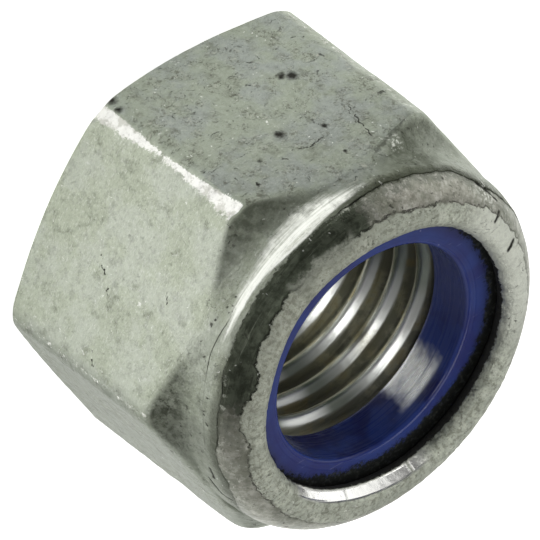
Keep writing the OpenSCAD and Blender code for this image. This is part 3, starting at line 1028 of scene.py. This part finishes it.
def thread_material(finish):
    """Cut steel of the thread: crests painted bright as highlights on the far and near walls, stained and painted
    in shade in the roots and on the crests' lower sides
    """
    material, g = new_material("cut_steel")
    mm = g.millimetres()
    deep = g.attribute("deep")
    flat = g.stretched(mm, (0.25, 0.25, 7.0))
    streaks = g.noise(flat, 1.0, 4, 0.6)
    stain = g.noise(mm, 0.5, 4, 0.6)
    # Painted highlights: the near wall and two places on the far wall get bright crests, and less dark roots on
    # the near wall
    near = g.toward(mm, (0.602, -0.799, 0.0))
    deep = g.times(deep, g.step(near, 0.0, 6.0, 1.0, 0.35))
    side = g.round_way(mm)
    far = g.step(g.toward(side, (-0.719, 0.695, 0.0)), 0.80, 0.985)
    low = g.step(g.toward(side, (0.208, 0.978, 0.0)), 0.955, 0.992)
    lit = g.most(far, low, g.step(near, 2.0, 6.0))
    crest = g.mix(lit, (0.35, 0.39, 0.33), (0.97, 0.99, 0.94))
    # olive: stain in the roots, painted lighter in the far highlight
    olive = g.mix(g.times(far, g.step(stain, 0.42, 0.62)), finish.steel_deep, (0.46, 0.45, 0.33))
    colour = g.mix(g.step(deep, 0.10, 0.90), crest, olive)
    worn = g.step(deep, 0.3, 0.6, 0.1, 1.0)
    colour = g.mix(g.times(worn, g.step(stain, 0.50, 0.66, 0.0, 0.7)), colour, (0.30, 0.26, 0.14))
    colour = g.mix(g.times(worn, g.step(streaks, 0.50, 0.70, 0.0, 0.5)), colour, (0.16, 0.16, 0.12))
    spot = g.spot(g.moved(mm, g.scaled(g.noise(mm, 2.0, 3, out="Color"), 0.9)), (-5.5, 7.6, 13.2), 1.1, 0.6)
    colour = g.mix(g.times(spot, g.step(stain, 0.35, 0.60, 0.35, 1.0)), colour, (0.10, 0.085, 0.035))
    rough = g.blend(deep, g.ramp(streaks, 0.3, 0.7, 0.28, 0.36), 0.45)
    height = g.times(g.plus(streaks, g.times(stain, 0.3)), g.step(deep, 0.0, 0.5, 0.15, 1.0))
    normal = g.bump(height, STEEL_DEPTH, 0.7)
    g.surface(colour, rough, 0.92, normal, IOR=1.5)
    return material


def nylon_material(finish):
    """Dark blue nylon with a soft gloss, tool marks, dust, black soiling and painted shade under the lip, painted
    shade and light on the bore wall and a painted reflection on it
    """
    material, g = new_material("blue_nylon")
    mm = g.millimetres()
    radius = g.from_axis(mm)
    flat = g.stretched(mm, (0.12, 0.12, 3.2))
    rings = g.add("ShaderNodeCombineXYZ", g.times(radius, 3.5), 0.0, 0.0)
    turned = g.noise(g.moved(flat, rings), 1.0, 3, 0.6)
    cloud = g.noise(mm, 0.40, 3)
    scuffs = g.noise(g.turned(mm, (0.4, 0.7, 0.2), (0.5, 5.0, 5.0)), 1.0, 2, 0.4)
    scuffs = g.step(scuffs, 0.70, 0.76, 0.0, 0.35)
    colour = g.mix(g.ramp(cloud, 0.38, 0.62), finish.nylon, (0.012, 0.034, 0.200))
    dust = g.step(g.cells(mm, 0.9), 0.03, 0.09, 1.0, 0.0)
    dust = g.times(dust, g.step(g.noise(mm, 0.8, 2), 0.5, 0.6))
    colour = g.mix(g.most(g.times(dust, 0.75), scuffs), colour, (0.30, 0.31, 0.48))
    round_way = g.round_way(mm)
    turn = g.toward(round_way, (-0.643, 0.766, 0.0))
    turn = g.plus(turn, g.ramp(g.noise(mm, 0.8, 2), 0.3, 0.7, -0.012, 0.012))
    high = g.toward(mm, (0.0, 0.0, 1.0))
    wall = g.step(radius, 8.86, 8.98, 1.0, 0.0)
    bands = g.noise(g.stretched(mm, (0.05, 0.05, 1.5)), 1.0, 2, 0.6)
    veil = g.times(wall, g.step(g.noise(mm, 0.3, 3, 0.6), 0.42, 0.58, 0.0, 0.85))
    # wall: the bore wall coloured darker, painted shade in the bore
    colour = g.mix(g.times(wall, 0.4), colour, (0.016, 0.013, 0.080))
    colour = g.mix(veil, colour, (0.030, 0.060, 0.270))
    # right: painted light, one side of the bore wall coloured lighter
    right = g.step(g.toward(round_way, (-0.94, -0.34, 0.0)), 0.55, 0.98, 0.0, 0.8)
    colour = g.mix(g.times(wall, right), colour, (0.085, 0.105, 0.290))
    # Painted reflection: a pale, half metallic patch on the bore wall in banded stripes
    painted_reflection = g.times(g.step(turn, 0.955, 1.0), wall)
    painted_reflection = g.times(painted_reflection, g.times(g.step(high, 20.2, 19.6), g.step(bands, 0.36, 0.46, 0.3, 1.0)))
    colour = g.mix(painted_reflection, colour, (0.97, 0.98, 1.0))
    # Dark band under the lip: dirty soiling and painted shade, wider on the low side
    edge = g.plus(radius, g.ramp(g.noise(mm, 4.2, 8, 0.9), 0.0, 1.0, -1.5, 1.5))
    edge = g.plus(edge, g.ramp(g.noise(mm, 1.2, 3, 0.6), 0.0, 1.0, -0.6, 0.6))
    low_side = g.toward(round_way, (-0.122, 0.993, 0.0))
    limit = g.step(low_side, 0.45, 0.95, 10.55, 9.75)
    dirt_and_shade = g.step(g.minus(edge, limit), -0.12, 0.18)
    shade = g.step(radius, 9.8, 10.6, 0.0, 0.4)
    colour = g.mix(shade, colour, (0.006, 0.008, 0.030))
    grit = g.mix(g.step(g.noise(mm, 3.0, 4, 0.7), 0.5, 0.62), (0.004, 0.005, 0.004), (0.030, 0.034, 0.030))
    colour = g.mix(dirt_and_shade, colour, grit)
    rough = g.ramp(turned, 0.3, 0.7, 0.20, 0.34)
    rough = g.blend(g.step(radius, 9.1, 9.4), rough, 0.5)
    rough = g.blend(dirt_and_shade, rough, 0.95)
    normal = g.bump(g.plus(turned, g.times(dust, 0.8)), 0.00002, 0.4)
    g.surface(colour, rough, g.times(painted_reflection, 0.5), normal, IOR=1.53, Subsurface_Weight=0.3,
              Subsurface_Scale=0.0012, Specular_IOR_Level=0.32, Subsurface_Radius=(0.3, 0.4, 1.0))
    return material


# Azimuth of the upright edge nearest the camera, and radius of the faint ridge on the ring, in mm
FRONT_EDGE = -60
RIDGE_R = 9.50

# Camera fitted to the photo, as its right, up and back directions and its place in metres
CAMERA_RIGHT = (-0.76725, 0.00756, 0.64130)
CAMERA_UP = (-0.41485, -0.76842, -0.48727)
CAMERA_BACK = (0.48910, -0.63990, 0.59271)
CAMERA_PLACE = (0.69841, -0.91416, 0.85579)

# Places of the lamps, the point that they face and the gap under the nut, in metres
TOP_LAMP = (-0.070, 0.093, 0.395)
FRONT_LAMP = (0.243, -0.190, 0.394)
LAMP_AIM = (0.0, 0.0, 0.012)
FLOOR_GAP = 0.00002


class MESH_OT_nut_body(bpy.types.Operator):
    """Build the steel body: hexagon, chamfers, neck, roll, lip and thread"""

    bl_idname = "mesh.nut_body"
    bl_label = "Steel body"
    MARKS = ("along", "from_crease", "from_rim", "fade", "cone", "tone", "far", "second", "doubled", "crack",
             "torn", "inside", "glint", "worn", "pale", "burnish_and_highlight", "shoulder", "brown", "olive", "deep")

    def execute(self, context):
        sizes = context.scene.nut_sizes
        finish = context.scene.nut_finish
        columns = sizes.columns
        turns = [corner_crowded(2 * pi * j / columns) for j in range(columns)]
        outlines = [Outline(sizes, (t + pi) % (2 * pi) - pi) for t in turns]
        rows = [outline.build() for outline in outlines]
        bm, layer = spun([(r, z) for r, z, kind, along in rows[0]], columns)
        values = {key: bm.verts.layers.float.new(key) for key in self.MARKS}
        kinds = [kind for r, z, kind, along in rows[0]]
        for v in bm.verts:
            j = round((atan2(v.co.y, v.co.x) % (2 * pi)) / (2 * pi) * columns) % columns
            i = v[layer]
            r, z, kind, along = rows[j][i]
            outline, turn = outlines[j], turns[j]
            if kind in ("neck", "roll", "flat"):
                r -= self.grooved(Vector((r * cos(turn), r * sin(turn), z)))
            v.co = (r * MM * cos(turn), r * MM * sin(turn), z * MM)
            for key, value in self.marks(outline, kind, along, z).items():
                v[values[key]] = value
        self.paint(bm, layer, kinds)
        piece = finish_mesh(bm, "nut_body_dressed", "nut_body")
        for material in (zinc_material(finish), crown_material(finish), thread_material(finish)):
            piece.data.materials.append(material)
        return {"FINISHED"}

    def grooved(self, where):
        """How deep the cracks cut at one point, in mm"""
        deep = 0.0
        if abs(where.x) > 2.0 and abs(where.y) > 3.0:
            for start, end, wide in CRACKS:
                a, b = Vector(start), Vector(end)
                line = b - a
                t = min(1.0, max(0.0, (where - a).dot(line) / line.length_squared))
                deep = max(deep, 1.3 * wide * max(0.0, 1 - (where - a - t * line).length / (wide + 0.22)))
        return deep

    def marks(self, outline, kind, along, z):
        """Values that the plating reads at one point of the surface"""
        past = {"roll": along, "lip": along, "neck": along - 3.0, "hollow": 9.0}.get(kind, -9.0)
        lip = kind == "lip"
        turned = (outline.lip_turn + (along - outline.end) / outline.lip_round) * 180 / pi if lip else 0.0
        sixth = nearest_edge(outline.degrees)
        corner = outline.degrees - sixth
        sixth = int((sixth + 179) % 360 - 179)
        worn = 0.0
        if kind in ("flat", "bearing"):
            # The edge nearest the camera gets the wide worn band that carries the painted highlight
            if sixth == FRONT_EDGE:
                low, high = self.band_limits(z)
                worn = stretch(low - 0.8, low + 0.4, corner) * (1 - stretch(high - 1.2, high + 2.4, corner))
            else:
                worn = 0.35 * (1 - stretch(0.2, 1.4, abs(corner)))
        bent = {"neck": along - 2.0 + outline.bend, "roll": 9.0, "lip": 9.0, "hollow": 9.0}.get(kind, 0.0)
        far = outline.degrees - 360 * (outline.degrees > 100)
        up = along if kind == "neck" else past + 3.0
        on_flat = kind in ("flat", "bearing")
        # Painted shade: the flat at -90 degrees is coloured darker towards its top
        tone = 1 + 1.6 * stretch(8, 16, z) * (-118 < outline.degrees < -62)
        glint = stretch(107, 115, turned) * (1 - stretch(164, 172, turned)) * outline.glint() if lip else 0.0
        shift = 3.0 * stretch(-245, -225, far) * (1 - stretch(-160, -130, far))
        return {
            "along": up,
            "from_crease": past - outline.crease,
            "from_rim": past - outline.rim,
            "fade": stretch(0.0, outline.table(FADE), bent),
            "cone": outline.table(CONE),
            "tone": outline.table(TONE) * tone,
            "second": past - outline.table(SECOND),
            "doubled": outline.table(DOUBLED),
            # far: where the rim is painted lighter
            "far": stretch(-215, -180, far) * (1 - stretch(-140, -118, far)),
            "crack": max(0.0, outline.table(CREASE_OPEN)),
            "torn": max(0.0, outline.table(RIM_STEP)),
            # inside: the underside of the lip and the hollow, painted dark as soiling and shade
            "inside": stretch(158 - shift, 192 - shift, turned) if lip else float(kind == "hollow"),
            "glint": glint,
            "worn": worn,
            "pale": outline.table(PALE) if on_flat else outline.soft_pale,
            "burnish_and_highlight": self.shine(outline, up) * (kind in ("neck", "roll")),
            "shoulder": outline.table(SHOULDER),
            "brown": outline.table(BROWN),
            "olive": outline.table(OLIVE),
            "deep": along if kind == "thread" else 0.0,
        }

    def band_limits(self, z):
        """Limits of the worn band at a height, in degrees from the edge"""
        for (z0, low0, high0), (z1, low1, high1) in zip(BAND_EDGE, BAND_EDGE[1:]):
            if z <= z1:
                t = (z - z0) / (z1 - z0)
                return low0 + (low1 - low0) * t, high0 + (high1 - high0) * t
        return BAND_EDGE[-1][1:]

    def shine(self, outline, along):
        """How much burnishing and painted highlight the collar carries at one point, from 0 to 1"""
        low, high = (outline.table(table) for table in (SHINE_LOW, SHINE_HIGH))
        inside = stretch(low - 0.7, low + 0.8, along) * (1 - stretch(high - 0.16, high + 0.06, along))
        inside *= 0.55 + 0.45 * stretch(low, high - 0.5, along)
        return outline.table(SHINE) * inside

    def paint(self, bm, layer, kinds):
        """Material slot of each face from the stretch of outline that it lies on"""
        slots = {"bearing": 0, "flat": 0, "neck": 1, "roll": 1, "lip": 1, "hollow": 1, "thread": 2}
        for face in bm.faces:
            face.material_index = max(slots[kinds[v[layer]]] for v in face.verts)
            if face.material_index == 2 and any(kinds[v[layer]] == "bearing" for v in face.verts):
                face.material_index = 0


class MESH_OT_locking_ring(bpy.types.Operator):
    """Build the nylon ring that the lip holds in the collar"""

    bl_idname = "mesh.locking_ring"
    bl_label = "Locking ring"

    def execute(self, context):
        sizes = context.scene.nut_sizes
        ring = context.scene.ring_sizes
        body = Outline(sizes, 0.0)
        outer = body.seat_r - ring.gap
        low = body.seat_z
        high = low + ring.height - ring.gap
        corner = body.hollow - ring.gap
        points = []

        def arc(cr, cz, radius, start, end, steps):
            for i in range(steps + 1):
                a = radians(start + (end - start) * i / steps)
                points.append((cr + radius * cos(a), cz + radius * sin(a)))

        arc(ring.bore_r + ring.bevel, low + ring.bevel, ring.bevel, 270, 180, 8)
        for t in range(1, 24):
            points.append((ring.bore_r, low + ring.bevel + (high - low - 2 * ring.bevel) * t / 24))
        arc(ring.bore_r + ring.bevel, high - ring.bevel, ring.bevel, 180, 90, 10)
        face_start, face_end = ring.bore_r + ring.bevel, outer - corner
        for t in range(1, 40):
            points.append((face_start + (face_end - face_start) * t / 40, high))
        arc(outer - corner, high - corner, corner, 90, 0, 12)
        points.append((outer, (low + high - corner) / 2))
        arc(outer - 0.2, low + 0.2, 0.2, 0, -90, 4)
        for t in range(1, 5):
            points.append((outer - 0.2 - (outer - 0.2 - face_start) * t / 5, low))
        bm, layer = spun(points, ring.columns)
        for v in bm.verts:
            x, y, z = v.co.x / MM, v.co.y / MM, v.co.z / MM
            r = hypot(x, y)
            c, n = x / r, y / r
            shift = 0.0
            lift = 0.0
            if r < ring.bore_r + 0.6:
                shift = waves("ring_bore", c, n, z)
            if z > high - 0.5 and r < outer - corner:
                lift = -abs(waves("ring_dish", c, n, r))
                lift -= 0.03 * stretch(0.5, 0.9, waves("ring_specks", c, n, r))
                ridge = RIDGE_R + waves("ring_ridge", c, n)
                whole = stretch(-0.5, 0.6, waves("ridge_breaks", c, n))
                lift += 0.035 * max(0.0, 1 - abs(r - ridge) / 0.09) * whole
            k = (r + shift) / r
            v.co = (x * k * MM, y * k * MM, (z + lift) * MM)
        piece = finish_mesh(bm, "locking_ring_dressed", "locking_ring")
        piece.data.materials.append(nylon_material(context.scene.nut_finish))
        return {"FINISHED"}


class SCENE_OT_nut_stage(bpy.types.Operator):
    """Set the camera, the white floor, the room and the lamps"""

    bl_idname = "scene.nut_stage"
    bl_label = "Stage"

    def execute(self, context):
        stage = context.scene.nut_stage
        self.camera(context, stage)
        self.floor(context)
        self.world(context, stage)
        self.lamp(context, "top_lamp", TOP_LAMP, 0.32, 0.56)
        self.lamp(context, "front_lamp", FRONT_LAMP, 0.17, 0.31)
        return {"FINISHED"}

    def camera(self, context, stage):
        data = bpy.data.cameras.new("photo_camera")
        data.lens = stage.lens
        data.sensor_width = 36.0
        data.sensor_fit = "HORIZONTAL"
        data.clip_start = 0.01
        data.clip_end = 20.0
        camera = bpy.data.objects.new("photo_camera", data)
        axes = Matrix((CAMERA_RIGHT, CAMERA_UP, CAMERA_BACK)).transposed().to_4x4()
        camera.matrix_world = Matrix.Translation(CAMERA_PLACE) @ axes
        context.scene.collection.objects.link(camera)
        context.scene.camera = camera

    def floor(self, context):
        bm = bmesh.new()
        bmesh.ops.create_grid(bm, x_segments=2, y_segments=2, size=6.0)
        mesh = bpy.data.meshes.new("floor")
        bm.to_mesh(mesh)
        bm.free()
        floor = bpy.data.objects.new("floor", mesh)
        floor.location.z = -FLOOR_GAP
        context.scene.collection.objects.link(floor)
        material, g = new_material("white_floor")
        rays = g.tree.nodes.new("ShaderNodeLightPath")
        mirrored = g.most(rays.outputs["Is Glossy Ray"], rays.outputs["Is Transmission Ray"])
        seen = g.plus(rays.outputs["Is Camera Ray"], g.times(mirrored, 0.93))
        lit = g.tree.nodes.new("ShaderNodeBsdfDiffuse")
        lit.inputs["Color"].default_value = (0.8, 0.8, 0.8, 1.0)
        white = g.tree.nodes.new("ShaderNodeEmission")
        g.put(white.inputs["Strength"], g.times(seen, 0.88))
        both = g.tree.nodes.new("ShaderNodeAddShader")
        g.tree.links.new(lit.outputs[0], both.inputs[0])
        g.tree.links.new(white.outputs[0], both.inputs[1])
        g.output(both.outputs[0])
        mesh.materials.append(material)

    def world(self, context, stage):
        world = bpy.data.worlds.new("room")
        context.scene.world = world
        world.use_nodes = True
        g = Graph(world.node_tree)
        way = g.tree.nodes.new("ShaderNodeTexCoord").outputs["Generated"]
        behind = g.toward(way, (-0.6, 0.8, 0.0))
        level = g.step(behind, -0.5, 0.75, stage.shade, stage.room)
        up = g.toward(way, (0.0, 0.0, 1.0))
        level = g.times(level, g.step(up, 0.45, 0.95, 1.0, 0.25))
        window = g.toward(way, (-0.887, -0.413, 0.208))
        level = g.plus(level, g.step(window, 0.78, 0.95, 0.0, stage.window))
        camera = g.tree.nodes.new("ShaderNodeLightPath").outputs["Is Camera Ray"]
        strength = g.blend(camera, level, 1.0)
        back = g.tree.nodes.new("ShaderNodeBackground")
        back.inputs["Color"].default_value = (1.0, 1.0, 1.0, 1.0)
        g.put(back.inputs["Strength"], strength)
        g.output(back.outputs[0], "ShaderNodeOutputWorld")

    def lamp(self, context, name, place, size, power):
        data = bpy.data.lights.new(name, "AREA")
        data.shape = "DISK"
        data.size = size
        data.energy = power
        lamp = bpy.data.objects.new(name, data)
        lamp.location = place
        lamp.rotation_euler = (Vector(LAMP_AIM) - Vector(place)).to_track_quat("-Z", "Y").to_euler()
        context.scene.collection.objects.link(lamp)


class VIEW3D_PT_lock_nut(bpy.types.Panel):
    """Sizes and finishes of the lock nut"""

    bl_label = "Lock nut"
    bl_space_type = "VIEW_3D"
    bl_region_type = "UI"
    bl_category = "Lock nut"

    def draw(self, context):
        scene = context.scene
        for label, group, operators in (("Steel body", scene.nut_sizes, ("mesh.nut_body",)),
                                        ("Locking ring", scene.ring_sizes, ("mesh.locking_ring",)),
                                        ("Finish", scene.nut_finish, ()),
                                        ("Stage", scene.nut_stage, ("scene.nut_stage",))):
            box = self.layout.box()
            box.label(text=label)
            for name in group.__annotations__:
                box.prop(group, name)
            for operator in operators:
                box.operator(operator)


CLASSES = (NutSizes, RingSizes, NutFinish, StageSettings, MESH_OT_nut_body, MESH_OT_locking_ring,
           SCENE_OT_nut_stage, VIEW3D_PT_lock_nut)
GROUPS = {"nut_sizes": NutSizes, "ring_sizes": RingSizes, "nut_finish": NutFinish, "nut_stage": StageSettings}


def register():
    for cls in CLASSES:
        bpy.utils.register_class(cls)
    for name, group in GROUPS.items():
        setattr(bpy.types.Scene, name, bpy.props.PointerProperty(type=group))


def unregister():
    for name in GROUPS:
        delattr(bpy.types.Scene, name)
    for cls in reversed(CLASSES):
        bpy.utils.unregister_class(cls)


def main():
    register()
    bpy.context.scene.view_settings.view_transform = "Standard"
    bpy.ops.mesh.nut_body()
    bpy.ops.mesh.locking_ring()
    bpy.ops.scene.nut_stage()


if __name__ == "__main__":
    main()
